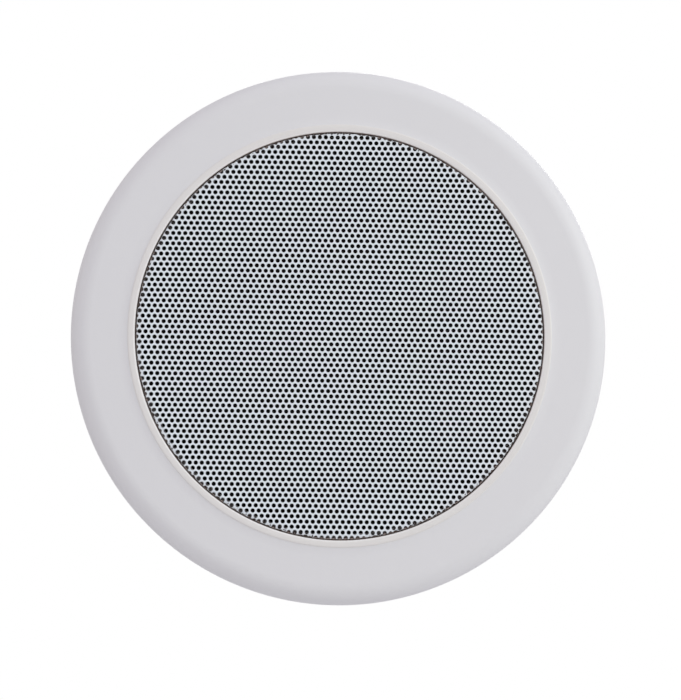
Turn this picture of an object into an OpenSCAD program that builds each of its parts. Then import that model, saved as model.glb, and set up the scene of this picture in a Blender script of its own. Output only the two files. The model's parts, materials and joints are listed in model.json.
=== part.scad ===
// Flush-mount loudspeaker with a radio receiver and amplifier in its rear can.
// The face looks along -Y, and the origin is the centre of the bezel's back plane,
// where the wall is. Each piece is drawn with local +z towards the room and then
// turned by placed().

/* [Bezel] */
// Width of the bezel outside the body that goes through the wall
flange_w = 14; // [13:0.5:25]
// Height of the bezel's flat face above the wall
flange_h = 8.5; // [8.5:0.5:12]
// Radius of the rounded outer edge
edge_round = 7; // [4:0.5:8]
// Height of the lip above the flat face
lip_h = 0.7; // [0.6:0.1:2]
// Width of the lip around the grille
lip_w = 2.5; // [2.2:0.1:4]
// Width of the hollow curve from the lip down to the flat face
cove_w = 3.3; // [2:0.1:5]
// Height of the hollow curve where it meets the lip
cove_h = 0.35; // [0.2:0.05:0.5]
// Small bevel on the lip's inner edge
lip_bevel = 0.35; // [0.2:0.05:0.6]
// Wall thickness of the front moulding
wall = 2.5; // [2:0.1:3]
// Width of the groove between the grille's seat and the body
groove_w = 2.4; // [2.4:0.1:6]
// Number of stiffening ribs around the groove
rib_count = 24; // [8:4:36]
// Thickness of a stiffening rib
rib_t = 1.5; // [1:0.1:2.5]
// How much the body's root widens towards the bezel, in front of the wall
root_step = 0.8; // [0.5:0.1:1.5]
// Length of the full-width band behind the wall's face, which centres the body in its cut-out
guide_h = 10; // [8:0.5:11]
// How much narrower the body is behind that band
guide_step = 0.6; // [0.6:0.1:0.9]

/* [Wall gasket] */
// Width of the foam ring
gasket_w = 3.5; // [2.5:0.5:5]
// Distance from the body to the foam ring
gasket_gap = 4.5; // [4:0.5:6]
// Thickness of the two ribs that hold the foam
gasket_rib = 1.5; // [1:0.1:2]

/* [Grille] */
// Gap between the grille's rim and the lip
grille_gap = 0.4; // [0.3:0.1:0.8]
// Sheet thickness of the grille
grille_t = 0.6; // [0.5:0.1:1]
// Depth of the rim that is bent back
grille_rim_h = 5.3; // [4:0.1:6]
// Outside radius of the bend
grille_bend = 1.2; // [0.8:0.1:1.6]
// How far the grille's face lies below the lip
grille_drop = 0.2; // [0:0.1:1]
// Width of the ledge that the grille's rim stands on
ledge_w = 2.4; // [2:0.1:3]
// Diameter of a hole in the sheet
hole_d = 1.2; // [1:0.1:1.4]
// Distance between holes, in staggered rows
hole_pitch = 2.0; // [1.8:0.1:2.4]
// Number of holes along each side of a patch that one drawn hole stands for
hole_group = 4; // [4:1:6]
// Thickness of the cloth behind the grille
scrim_t = 0.4; // [0.3:0.1:0.8]

/* [Driver] */
// Diameter of the moving cone
cone_d = 100; // [90:1:130]
// Depth of the cone
cone_depth = 17; // [15:0.5:20]
// Thickness of the cone's paper
cone_t = 0.5; // [0.4:0.1:0.8]
// Width of the rubber half roll around the cone
surround_w = 7; // [6:0.5:8]
// Thickness of the rubber
surround_t = 0.5; // [0.4:0.1:0.6]
// Width of the basket's flat rim
rim_w = 8.8; // [8.6:0.1:12]
// Sheet thickness of the basket
basket_t = 1.2; // [0.8:0.1:1.5]
// Thickness of the seal under the basket's rim
seal_t = 1; // [0.5:0.1:2]
// Diameter of the dust cap
cap_d = 34; // [30:1:40]
// Rise of the dust cap's dome
cap_rise = 5; // [3:0.5:6]
// Inside diameter of the coil's tube
coil_d = 25.4; // [24:0.2:28]
// Height of the coil's winding
coil_h = 9; // [7:0.5:10]
// Thickness of the coil's tube
former_t = 0.25; // [0.2:0.05:0.3]
// Thickness of the coil's winding
winding_t = 0.55; // [0.4:0.05:0.7]
// Running clearance on each side of the coil
coil_gap = 0.45; // [0.4:0.05:0.6]
// Diameter of the magnet ring
magnet_d = 80; // [74:1:84]
// Inside diameter of the magnet ring
magnet_bore = 44; // [36:1:48]
// Thickness of the magnet ring
magnet_t = 14; // [10:0.5:16]
// Diameter of the two steel plates
plate_d = 76; // [70:1:80]
// Thickness of each steel plate
plate_t = 5; // [4:0.5:6]
// Diameter of the vent through the pole
vent_d = 6; // [4:0.5:10]
// Travel of the cone each way
cone_travel = 3; // [2:0.5:3]

/* [Rear can] */
// Room between the motor and the circuit board
board_room = 12.2; // [12:0.2:20]
// Wall thickness of the can
can_wall = 2; // [1.5:0.1:2.5]
// Radius of the can's rear edge
can_round = 4; // [3:0.5:6]
// Width of the circuit board
board_w = 84; // [84:1:90]
// Height of the circuit board
board_h = 56; // [56:1:64]
// Thickness of the circuit board
board_t = 1.6; // [1:0.2:2]
// Height of the posts under the circuit board
post_h = 3; // [2:0.5:4]
// Distance of the inlet and of the socket from the can's centre
port_y = 44; // [43:0.5:48]
// Diameter of the inlet's threaded neck
inlet_d = 8; // [7:0.5:10]

/* [Clips] */
// Length of a clip's arm from its pin
arm_len = 24; // [22:0.5:28]
// Width of a clip's arm
arm_w = 18; // [16:0.5:22]
// Thickness of a clip's arm
arm_t = 1.2; // [1:0.1:1.5]
// Angle of the arm in front of the radial direction at rest
arm_rest = 60; // [56:1:62]
// Diameter of a clip's pin
pin_d = 2.5; // [2:0.1:3]
// Diameter of the spring wire
wire_d = 1; // [0.8:0.1:1]
// Turns of the clip's spring
spring_turns = 5; // [3:1:6]

/* [Screws] */
// Diameter of the basket's and the can's screws
screw_d = 2.8; // [2.5:0.1:3]
// Length of the basket's and the can's screws
screw_len = 8; // [7:0.5:9]
// Diameter of their heads
head_d = 5; // [4.5:0.1:5.4]
// Height of their heads
head_h = 1.8; // [1.5:0.1:2.2]

/* [Hidden] */
$fn = 96;

// How far a cut runs past the surface that it cuts
over = 1;
// Clearance of a loose fit, a close fit, a turning pin and a screw in its hole
loose = 0.4;
close = 0.15;
pin_fit = 0.08;
screw_fit = 0.05;

// Radii, from the cone outwards
cone_r = cone_d / 2;
roll_out = cone_r + surround_w;
basket_r = roll_out + rim_w;
seat_r = basket_r + loose;
throat_r = seat_r + ledge_w;
grille_r = throat_r - grille_gap;
lip_r = throat_r + lip_w;
throat_out = throat_r + wall;
body_in = throat_out + groove_w;
body_r = body_in + wall;
bezel_r = body_r + flange_w;

// Heights, from the lip inwards
lip_z = flange_h + lip_h;
hollow_z = flange_h - wall;
grille_z = lip_z - grille_drop;
ledge_z = grille_z - grille_rim_h;
scrim_z = grille_z - grille_t - scrim_t;
shelf_t = 3;
roll_clear = 1.05;
rim_z = scrim_z - surround_w / 2 - surround_t / 2 - cone_travel - roll_clear;
rim_low = rim_z - basket_t;
shelf_z = rim_low - seal_t;
shelf_low = shelf_z - shelf_t;

// Wall gasket
foam_in = body_r + gasket_gap;
foam_out = foam_in + gasket_w;
rib_gap = 0.2;
foam_rib_low = 0.5;
flange_rib_low = 1;
bezel_steps = 14;

// Basket: its sloped wall, the ledge of the spider and the cup that holds the motor
spider_drop = 3.2;
basket_depth = cone_depth + spider_drop;
wall_top_r = roll_out + basket_t;
shelf_in = wall_top_r + loose;
ledge_out = 41;
cup_r = 32.2;
spider_z = rim_z - basket_depth;
cup_h = 6;
cup_z = spider_z - cup_h;
cup_bore = 15.2;
window_count = 6;
window_w = 20;
window_top = 4;
window_foot = 2;

// Motor, behind the cup
plate_z = cup_z - basket_t;
magnet_z = plate_z - plate_t;
back_z = magnet_z - magnet_t;
motor_end = back_z - plate_t;
former_in = coil_d / 2;
former_out = former_in + former_t;
winding_out = former_out + winding_t;
pole_r = former_in - coil_gap;
gap_r = winding_out + coil_gap;
coil_z = plate_z - plate_t / 2;

// Moving parts of the driver
cone_edge = 2.3;
cone_steps = 10;
cone_bend = 0.25;
cone_z = rim_z;
neck_r = former_out + 0.05;
roll_r = surround_w / 2;
roll_mid = cone_r + roll_r;
land_w = 2.6;
spider_waves = 5;
spider_wave_h = 1.2;
spider_t = 0.4;
spider_land = 3;

// Screw circles
rim_screw_r = (roll_out + land_w + basket_r) / 2;
rim_screw_turn = 30;
boss_r = 3;
boss_h = 6;
can_screw_turn = 45;
ear_h = 5;
boss_step = 0.3;

// Rear can
can_r = basket_r - 0.8;
can_in = can_r - can_wall;
can_ear_r = body_in - boss_r - 0.3;
board_top = motor_end - board_room;
board_z = board_top - board_t;
can_floor = board_z - post_h;
can_z = can_floor - can_wall;
post_x = board_w / 2 - 5;
post_y = board_h / 2 - 5;
post_r = 3;
board_screw_d = 2;
board_screw_len = 4;
inlet_body_r = 5.5;
inlet_body_h = 10;
inlet_neck_h = 6;
inlet_bore_r = 2.75;
inlet_bore_h = 9;
nut_h = 2.5;
socket_w = 28;
socket_h = 12;
socket_depth = 8;
socket_flange = 3;
socket_flange_t = 1.5;
port_w = 7;
port_h = 6;
port_gap = 4;
can_rib_h = 1.2;
can_rib_w = 2;
can_rib_turn = 45;

// Parts on the circuit board: places from its edges, and sizes
module_x = 14 - board_w / 2;
module_y = board_h / 2 - 22;
module_size = [18, 14, 1];
shield_size = [14, 12, 2.3];
chip_place = [6, -2];
chip_w = 12;
chip_h = 1.6;
sink_w = 17;
sink_base = 1.6;
fin_count = 6;
fin_pitch = 3;
fin_t = 1.2;
fin_h = 4.9;
capacitor_x = board_w / 2 - 18;
capacitor_y = board_h / 2 - 37;
capacitor_step = [10, 12];
capacitor_r = 3.8;
capacitor_h = 9;
inductor_x = -14;
inductor_y = 9 - board_h / 2;
inductor_step = 14;
inductor_w = 9;
inductor_h = 5;

// Clips, each in a box on the back of the shelf
clip_r = can_r + 5;
pad_clear = 2.1;
pad_over = 1.5;
clip_z = -(arm_len + pad_over) * sin(arm_rest) - pad_clear;
knuckle_r = pin_d / 2 + 1.25;
knuckle_w = 3.8;
ear_gap = 0.5;
ear_t = 3;
ear_r = 4;
ear_root = 0.3;
coil_mean = pin_d / 2 + wire_d / 2 + 0.45;
web_t = 1.3;
web_out = clip_r - coil_mean - wire_d / 2 - 0.1;
stop_in = clip_r - coil_mean + wire_d / 2 + 0.1;
stop_t = 1.6;
stop_low = clip_z + 8;
slot_top = clip_z + (body_r - clip_r) * tan(arm_rest) + arm_t / 2 / cos(arm_rest) + 0.3;
body_depth = ear_r + 1.8 - clip_z;
pad_len = 9;
pad_t = 3.2;
pad_w = arm_w + 2;
spring_len = 7.5;
leg_stop = 9;
leg_arm = 12;
leg_seat = arm_t / 2 + wire_d / 2 + 0.1;

// Insulated wires inside the can, as lists of points from end to end
insulated_d = 1.6;
lead_d = 1;
tag_x = 4.5;
tag_y = ledge_out + 6.5;

function unit(v) = v / norm(v);

// Points of an arc from one angle to another
function arc(cx, cy, r, from, to, steps) =
    [for (i = [0 : steps]) let (a = from + (to - from) * i / steps) [cx + r * cos(a), cy + r * sin(a)]];

// Direction of a path at one of its points
function heading(path, i) =
    let (last = len(path) - 1) unit(path[min(i + 1, last)] - path[max(i - 1, 0)]);

// Rings of points around a path; side lies across the path all along it
function tube_points(path, r, sides, side) =
    [for (i = [0 : len(path) - 1])
        let (t = heading(path, i), n = unit(cross(t, side)), b = cross(t, n))
        for (s = [0 : sides - 1]) path[i] + r * (cos(360 * s / sides) * n + sin(360 * s / sides) * b)];

function tube_faces(rings, sides) = concat(
    [[for (s = [0 : sides - 1]) s]],
    [for (i = [0 : rings - 2], s = [0 : sides - 1])
        let (a = i * sides + s, b = i * sides + (s + 1) % sides) [a, a + sides, b + sides, b]],
    [[for (s = [0 : sides - 1]) rings * sides - 1 - s]]
);

// Height of the cone's front, from its edge at t = 0 to its neck at t = 1
function cone_front(t) = cone_z - cone_depth * ((1 + cone_bend) * t - cone_bend * t * t);
function cone_at(t) = cone_r - (cone_r - neck_r) * t;
function cone_front_at(r) = cone_front((cone_r - r) / (cone_r - neck_r));

module placed() rotate([90, 0, 0]) children();

module tube(path, d, sides, side)
    polyhedron(tube_points(path, d / 2, sides, side), tube_faces(len(path), sides), convexity = 8);

module ring(r_in, r_out, low, high) {
    translate([0, 0, low]) difference() {
        cylinder(r = r_out, h = high - low);
        translate([0, 0, -over]) cylinder(r = r_in, h = high - low + 2 * over);
    }
}

module disc(r, low, high) translate([0, 0, low]) cylinder(r = r, h = high - low);

module block(x, y, low, high)
    translate([x[0], y[0], low]) cube([x[1] - x[0], y[1] - y[0], high - low]);

module around(count, turn = 0)
    for (i = [0 : count - 1]) rotate([0, 0, turn + 360 * i / count]) children();

module both_sides() {
    children();
    mirror([1, 0, 0]) children();
}

// The bezel's section, from the foot of its outer edge over the lip to the shelf
function bezel_outline() = concat(
    [[bezel_r, 0]],
    arc(bezel_r - edge_round, flange_h - edge_round, edge_round, 0, 90, bezel_steps),
    [for (i = [0 : 4]) let (t = i / 4) [lip_r + cove_w * (1 - t), flange_h + cove_h * t * t]],
    [[lip_r - lip_h / 2, lip_z], [throat_r + lip_bevel, lip_z], [throat_r, lip_z - lip_bevel],
     [throat_r, ledge_z], [seat_r, ledge_z], [seat_r, shelf_z], [shelf_in, shelf_z],
     [shelf_in, shelf_low], [throat_out, shelf_low], [throat_out, hollow_z], [body_in, hollow_z],
     [body_in, -body_depth], [body_r - guide_step, -body_depth], [body_r - guide_step, -guide_h - guide_step],
     [body_r, -guide_h], [body_r, 0], [body_r + root_step, root_step],
     [body_r + root_step, hollow_z]],
    arc(bezel_r - edge_round, flange_h - edge_round, edge_round - wall, 90, 0, bezel_steps),
    [[bezel_r - wall, 0]]
);

module foam_ribs() {
    ring(foam_in - rib_gap - gasket_rib, foam_in - rib_gap, foam_rib_low, hollow_z + over);
    ring(foam_out + rib_gap, foam_out + rib_gap + gasket_rib, foam_rib_low, hollow_z + over);
}

module stiffening_ribs() {
    around(rib_count, 180 / rib_count) {
        block([throat_out - over / 2, body_in + over / 2], [-rib_t / 2, rib_t / 2], shelf_z, hollow_z + over);
        block([body_r + root_step / 2, foam_in - rib_gap - over / 2], [-rib_t / 2, rib_t / 2],
            flange_rib_low, hollow_z + over);
    }
}

function ear_outline() = concat(
    [[web_out - web_t, shelf_low + over], [web_out - web_t, clip_z - ear_r]],
    arc(clip_r, clip_z, ear_r, -80, 0, 8),
    [[body_in + ear_root, clip_z + over], [body_in + ear_root, shelf_low + over]]
);

// Ears, spring channel and web for the right-hand clip
module clip_box() {
    half = arm_w / 2 + ear_gap;
    difference() {
        union() {
            for (side = [-1, 1]) translate([0, side * (half + ear_t / 2), 0])
                rotate([90, 0, 0]) linear_extrude(ear_t, center = true) polygon(ear_outline());
            block([web_out - web_t, web_out], [-half - over, half + over], clip_z - ear_r, shelf_low + over);
            block([stop_in, stop_in + stop_t], [-half - over, half + over], stop_low, shelf_low + over);
        }
        translate([clip_r, 0, clip_z]) rotate([90, 0, 0])
            cylinder(d = pin_d + 2 * screw_fit, h = arm_w + 4 * ear_t, center = true);
    }
}

module front_frame() {
    placed() color("white") difference() {
        union() {
            rotate_extrude() polygon(bezel_outline());
            foam_ribs();
            stiffening_ribs();
            around(4, can_screw_turn) translate([can_ear_r, 0, 0]) disc(boss_r, shelf_low - boss_step, ledge_z - 0.7);
            around(4, rim_screw_turn) translate([rim_screw_r, 0, 0]) disc(boss_r, shelf_low - boss_h, shelf_z);
            both_sides() clip_box();
        }
        both_sides() block([body_in - over, body_r + over], [-arm_w / 2 - ear_gap, arm_w / 2 + ear_gap],
            -body_depth - over, slot_top);
        around(4, can_screw_turn) translate([can_ear_r, 0, 0])
            disc(screw_d / 2 + screw_fit, shelf_low - over, ledge_z - 1.5);
        around(4, rim_screw_turn) translate([rim_screw_r, 0, 0])
            disc(screw_d / 2 + screw_fit, shelf_low - boss_h + 1.5, shelf_z + over);
    }
}

module wall_gasket() placed() color("dimgray") ring(foam_in, foam_out, 0, hollow_z - rib_gap);

// Staggered holes over a disc, one for each patch of the real sheet
module hole_field(reach) {
    pitch = hole_pitch * hole_group;
    row = pitch * sqrt(3) / 2;
    rows = floor(reach / row);
    for (j = [-rows : rows]) {
        shift = abs(j) % 2 * pitch / 2;
        half = floor(sqrt(max(0, reach * reach - j * j * row * row)) / pitch + 1);
        for (i = [-half : half])
            if (norm([i * pitch + shift, j * row]) < reach)
                translate([i * pitch + shift, j * row]) circle(d = hole_d * hole_group, $fn = 8);
    }
}

function rim_outline() = concat(
    [[grille_r - grille_bend, grille_z]],
    arc(grille_r - grille_bend, grille_z - grille_bend, grille_bend, 80, 0, 8),
    [[grille_r, ledge_z], [grille_r - grille_t, ledge_z]],
    arc(grille_r - grille_bend, grille_z - grille_bend, grille_bend - grille_t, 0, 80, 6),
    [[grille_r - grille_bend, grille_z - grille_t]]
);

module grille() {
    face_r = grille_r - grille_bend;
    placed() color("whitesmoke") union() {
        translate([0, 0, grille_z - grille_t]) linear_extrude(grille_t) difference() {
            circle(r = face_r);
            hole_field(face_r - hole_d * hole_group / 2 - 0.8);
        }
        rotate_extrude() polygon(rim_outline());
    }
}

module grille_scrim() placed() color("black") disc(grille_r - grille_bend - loose, scrim_z, scrim_z + scrim_t);

module rim_holes() {
    around(4, rim_screw_turn) translate([rim_screw_r, 0, 0])
        disc(screw_d / 2 + close, shelf_z - over, rim_z + over);
}

module basket_seal() {
    placed() color("black") difference() {
        ring(shelf_in + loose, basket_r - loose, shelf_z, rim_low);
        rim_holes();
    }
}

function basket_outline() = [
    [roll_out, rim_z], [basket_r, rim_z], [basket_r, rim_low], [wall_top_r, rim_low],
    [ledge_out + basket_t, spider_z - basket_t], [cup_r, spider_z - basket_t], [cup_r, plate_z],
    [cup_bore, plate_z], [cup_bore, cup_z], [cup_r - basket_t, cup_z], [cup_r - basket_t, spider_z],
    [ledge_out, spider_z], [roll_out, rim_low]
];

module basket() {
    placed() color("silver") difference() {
        rotate_extrude() polygon(basket_outline());
        around(window_count, rim_screw_turn)
            block([cup_r + over, basket_r], [-window_w / 2, window_w / 2],
                spider_z + window_foot, rim_z - window_top);
        rim_holes();
    }
}

module trim_ring() placed() color("black")
    ring(roll_out + 0.3, roll_out + land_w - 0.1, rim_z + surround_t, rim_z + surround_t + basket_t);

// Half roll of rubber with a flat land on the rim and one on the cone's edge
module surround() {
    placed() color([0.12, 0.12, 0.13]) rotate_extrude() union() {
        intersection() {
            translate([roll_mid, rim_z]) difference() {
                circle(r = roll_r + surround_t / 2);
                circle(r = roll_r - surround_t / 2);
            }
            translate([cone_r - over, rim_z]) square([surround_w + 2 * over, surround_w]);
        }
        translate([roll_out - surround_t / 4, rim_z]) square([land_w, surround_t]);
        translate([cone_r - cone_edge + surround_t / 4, rim_z]) square([cone_edge, surround_t]);
    }
}

module cone() {
    front = [for (i = [0 : cone_steps]) [cone_at(i / cone_steps), cone_front(i / cone_steps)]];
    back = [for (i = [cone_steps : -1 : 0]) [cone_at(i / cone_steps), cone_front(i / cone_steps) - cone_t]];
    placed() color([0.16, 0.16, 0.17]) rotate_extrude() union() {
        difference() {
            polygon(concat(front, back));
            translate([cone_r - cone_edge, cone_z - cone_t]) square([cone_edge + over, cone_t + over]);
        }
        translate([cone_r - cone_edge - cone_t, cone_z - cone_t]) square([cone_edge + cone_t, cone_t]);
    }
}

module dust_cap() {
    r = cap_d / 2;
    dome = (r * r + cap_rise * cap_rise) / (2 * cap_rise);
    half = asin(r / dome);
    foot = cone_front_at(r) + cone_t;
    centre = foot + cap_rise - dome;
    points = concat(arc(0, centre, dome, 90 - half, 90, 10), arc(0, centre, dome - cone_t, 90, 90 - half, 10));
    placed() color([0.12, 0.12, 0.13]) rotate_extrude() polygon(points);
}

// Corrugated cloth ring that centres the coil
function spider_wave(t) = spider_wave_h / 2 * sin(360 * spider_waves * t);

module spider() {
    inner = former_out + 0.02;
    outer = ledge_out - 1.2;
    flat_from = cup_r - basket_t;
    middle = spider_z + spider_wave_h / 2;
    steps = spider_waves * 8;
    top = [for (i = [0 : steps]) let (t = i / steps)
        [inner + (flat_from - inner) * t, spider_z + spider_t + (1 - t) * spider_wave_h / 2 + spider_wave(t)]];
    low = [for (i = [steps : -1 : 0]) [top[i][0], top[i][1] - spider_t]];
    land = [[outer, spider_z + spider_t], [outer, spider_z]];
    placed() color([0.75, 0.6, 0.35]) rotate_extrude() polygon(concat(top, land, low));
}

module coil_former()
    placed() color([0.7, 0.55, 0.3]) ring(former_in, former_out, coil_z - coil_h / 2, cone_front(1));

module voice_coil()
    placed() color([0.72, 0.4, 0.22]) ring(former_out, winding_out, coil_z - coil_h / 2, coil_z + coil_h / 2);

module top_plate() placed() color("gray") ring(gap_r, plate_d / 2, magnet_z, plate_z);

module magnet() placed() color([0.22, 0.22, 0.24]) ring(magnet_bore / 2, magnet_d / 2, back_z, magnet_z);

module back_plate() {
    placed() color("gray") difference() {
        union() {
            disc(plate_d / 2, motor_end, back_z);
            disc(pole_r, back_z - over, plate_z);
        }
        disc(vent_d / 2, motor_end - over, plate_z + over);
    }
}

module tag_strip() {
    low = spider_z - basket_t - basket_t;
    placed() color([0.45, 0.28, 0.15]) union() {
        block([-tag_x - 2.5, tag_x + 2.5], [cup_r + 1, tag_y + 1.5], low, low + basket_t);
        for (side = [-1, 1]) block([side * tag_x - 1.2, side * tag_x + 1.2],
            [tag_y - 1.5, tag_y + 2.1], low - 0.5, low + 0.1);
    }
}

// Flexible leads from the back of the cone to the tags
module lead_wires() {
    start = ledge_out * 0.6;
    foot = spider_z - basket_t;
    back = cone_front_at(start) - cone_t - lead_d / 2;
    placed() color([0.8, 0.6, 0.4]) for (side = [-1, 1])
        tube([[side * tag_x, start, back], [side * tag_x, start + 2.5, back - 1.2],
              [side * tag_x, start + 7, spider_z + 5], [side * tag_x, start + 12, spider_z + 4.6],
              [side * tag_x, tag_y - 7.5, spider_z + 5], [side * tag_x, tag_y - 3, spider_z + 4.8],
              [side * tag_x, tag_y - 0.7, spider_z + 3.2], [side * tag_x, tag_y, spider_z + 1],
              [side * tag_x, tag_y, foot]],
            lead_d, 8, [1, 0, 0]);
}

// A pan-head screw that enters downwards, with its head standing on the origin
module screw(d, length, head, height) {
    recess = head / 5;
    difference() {
        union() {
            disc(d / 2, -length, 0.2);
            disc(head / 2, 0, height);
        }
        for (turn = [0, 90]) rotate([0, 0, turn])
            block([-head / 3, head / 3], [-recess / 2, recess / 2], height / 2, height + over);
    }
}

module basket_screws() placed() color("silver")
    around(4, rim_screw_turn) translate([rim_screw_r, 0, rim_z]) screw(screw_d, screw_len, head_d, head_h);

module can_screws() placed() color("silver")
    around(4, can_screw_turn) translate([can_ear_r, 0, shelf_low - ear_h]) rotate([180, 0, 0])
        screw(screw_d, screw_len + 2, head_d, head_h);

module board_screws() placed() color("silver")
    for (x = [-post_x, post_x], y = [-post_y, post_y]) translate([x, y, board_top])
        screw(board_screw_d, board_screw_len, board_screw_d * 1.9, board_screw_d * 0.7);

function can_outline() = concat(
    [[can_r, shelf_low]],
    arc(can_r - can_round, can_z + can_round, can_round, 0, -90, 8),
    [[0, can_z], [0, can_floor]],
    arc(can_in - can_round + can_wall, can_floor + can_round - can_wall, can_round - can_wall, -90, 0, 6),
    [[can_in, shelf_low]]
);

module rear_can() {
    half = [socket_w / 2 + close, socket_h / 2 + close];
    placed() color("white") difference() {
        union() {
            rotate_extrude() polygon(can_outline());
            around(4, can_screw_turn) {
                translate([can_ear_r, 0, 0]) disc(boss_r, shelf_low - ear_h, shelf_low - boss_step);
                block([can_in + over, can_ear_r], [-boss_r, boss_r], shelf_low - ear_h, shelf_low - boss_step);
            }
            both_sides() for (turn = [-can_rib_turn, 0, can_rib_turn]) rotate([0, 0, turn])
                block([can_r * 0.35, can_r - can_round - 2], [-can_rib_w / 2, can_rib_w / 2],
                    can_z - can_rib_h, can_z + over);
            for (x = [-post_x, post_x], y = [-post_y, post_y])
                translate([x, y, 0]) disc(post_r, can_floor - over, board_z);
        }
        around(4, can_screw_turn) translate([can_ear_r, 0, 0])
            disc(screw_d / 2 + close, shelf_low - ear_h - over, shelf_low + over);
        around(4, rim_screw_turn) translate([rim_screw_r, 0, 0])
            disc(boss_r + 0.1, shelf_low - boss_h - 0.2, shelf_low + over);
        for (x = [-post_x, post_x], y = [-post_y, post_y])
            translate([x, y, 0]) disc(board_screw_d / 2 + screw_fit, board_z - post_h + 0.2, board_z + over);
        translate([0, -port_y, 0]) disc(inlet_d / 2 + close, can_z - over, can_floor + over);
        block([-half[0], half[0]], [port_y - half[1], port_y + half[1]], can_z - over, can_floor + over);
    }
}

module amp_board() {
    placed() color([0.05, 0.3, 0.16]) difference() {
        block([-board_w / 2, board_w / 2], [-board_h / 2, board_h / 2], board_z, board_top);
        for (x = [-post_x, post_x], y = [-post_y, post_y])
            translate([x, y, 0]) disc(board_screw_d / 2 + close, board_z - over, board_top + over);
    }
}

module slab(w, d, low, high) block([-w / 2, w / 2], [-d / 2, d / 2], low, high);

// The radio's own small board, with its shield can on top
module radio_module() {
    placed() color("silver") translate([module_x, module_y, board_top]) union() {
        slab(module_size[0], module_size[1], 0, module_size[2]);
        translate([1, 0, 0]) slab(shield_size[0], shield_size[1], module_size[2] - 0.1, module_size[2] + shield_size[2]);
    }
}

module on_chip() translate([chip_place[0], chip_place[1], board_top]) children();

module amp_chip() placed() color([0.1, 0.1, 0.1]) on_chip() slab(chip_w, chip_w, 0, chip_h);

module heat_sink() {
    placed() color([0.3, 0.3, 0.32]) on_chip() translate([0, 0, chip_h]) union() {
        slab(sink_w, sink_w, 0, sink_base);
        for (i = [0 : fin_count - 1]) translate([(i - (fin_count - 1) / 2) * fin_pitch, 0, 0])
            slab(fin_t, sink_w, sink_base - 0.1, sink_base + fin_h);
    }
}

module capacitors() {
    placed() color([0.15, 0.15, 0.2]) for (i = [0, 1], j = [0, 1])
        translate([capacitor_x + i * capacitor_step[0], capacitor_y + j * capacitor_step[1], board_top]) union() {
            disc(capacitor_r + 0.2, 0, 0.5);
            disc(capacitor_r, 0.4, capacitor_h);
        }
}

module inductors() {
    placed() color([0.3, 0.3, 0.3]) for (i = [0, 1])
        translate([inductor_x + i * inductor_step, inductor_y, board_top]) union() {
            slab(inductor_w, inductor_w, 0, 1);
            disc(inductor_w / 2 - 0.3, 0.9, inductor_h);
        }
}

// Panel inlet: body inside the can, threaded neck through its floor, and the contact in the bore
module dc_inlet() {
    mouth = can_z - inlet_neck_h + can_wall;
    placed() color([0.1, 0.1, 0.1]) translate([0, -port_y, 0]) union() {
        difference() {
            union() {
                disc(inlet_body_r, can_floor, can_floor + inlet_body_h);
                disc(inlet_d / 2, mouth, can_floor + over);
            }
            disc(inlet_bore_r, mouth - over, mouth + inlet_bore_h);
        }
        disc(1, mouth + 1, mouth + inlet_bore_h + over);
    }
}

module inlet_nut() {
    placed() color("silver") translate([0, -port_y, can_z - nut_h]) difference() {
        cylinder(r = inlet_d / 2 + 2.5, h = nut_h, $fn = 6);
        translate([0, 0, -over]) cylinder(r = inlet_d / 2 + close, h = nut_h + 2 * over);
    }
}

// Two-way socket that links a second loudspeaker
module link_socket() {
    flange = [socket_w / 2 + socket_flange, socket_h / 2 + socket_flange];
    mouth = can_z - socket_flange_t;
    placed() color([0.1, 0.1, 0.1]) translate([0, port_y, 0]) difference() {
        union() {
            block([-flange[0], flange[0]], [-flange[1], flange[1]], mouth, can_z);
            block([-socket_w / 2, socket_w / 2], [-socket_h / 2, socket_h / 2], can_z - 0.2, can_floor + socket_depth);
        }
        for (side = [-1, 1]) translate([side * (port_w / 2 + port_gap / 2), 0, 0])
            block([-port_w / 2, port_w / 2], [-port_h / 2, port_h / 2], mouth - over, mouth + 8);
    }
}

module speaker_wires() {
    tag = tag_y + 1.5;
    start = spider_z - 2 * basket_t - 0.5;
    placed() color([0.7, 0.1, 0.1]) for (side = [0, 1]) {
        x = side ? tag_x : -tag_x;
        tube([[x, tag - 0.4, start], [x, tag - 0.4, start - 3], [x, tag + 0.4, start - 9],
              [x + 0.5, tag + 0.6, start - 18], [x + 1.5, tag, start - 26], [x + 3, tag - 4, board_top + 9],
              [x + 5, port_y - 10, board_top + 7.5], [x + 6, board_h / 2, board_top + 5.5],
              [x + 6, board_h / 2 - 3.5, board_top + 3], [x + 6, board_h / 2 - 3.5, board_top]],
            insulated_d, 8, [1, 0, 0]);
    }
}

module supply_wires() {
    start = can_floor + inlet_body_h;
    placed() color([0.1, 0.1, 0.1]) for (side = [-1, 1]) {
        x = side * 2.2;
        tube([[x, -port_y, start], [x, -port_y, start + 1.5], [x, -port_y + 2, start + 3.6],
              [x, -port_y + 6, start + 4], [x, -board_h / 2 - 3, start + 2.6],
              [x, -board_h / 2 + 2.2, board_top + 3.5], [x, -board_h / 2 + 2.2, board_top]],
            insulated_d, 8, [1, 0, 0]);
    }
}

module link_wires() {
    start = can_floor + socket_depth;
    placed() color([0.8, 0.8, 0.8]) for (side = [0, 1]) {
        x = -11 + side * 3.5;
        tube([[x, port_y, start], [x, port_y, start + 1.5], [x, port_y - 2, start + 3.6],
              [x, port_y - 6, start + 4], [x, board_h / 2 + 3, start + 2.6],
              [x, board_h / 2 - 2.2, board_top + 3.5], [x, board_h / 2 - 2.2, board_top]],
            insulated_d, 8, [1, 0, 0]);
    }
}

// Puts a piece drawn along +x from the pin into a clip, with side 1 right and -1 left
module at_clip(side, turn = 0) {
    placed() mirror([side < 0 ? 1 : 0, 0, 0])
        translate([clip_r, 0, clip_z]) rotate([0, -turn, 0]) children();
}

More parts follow.
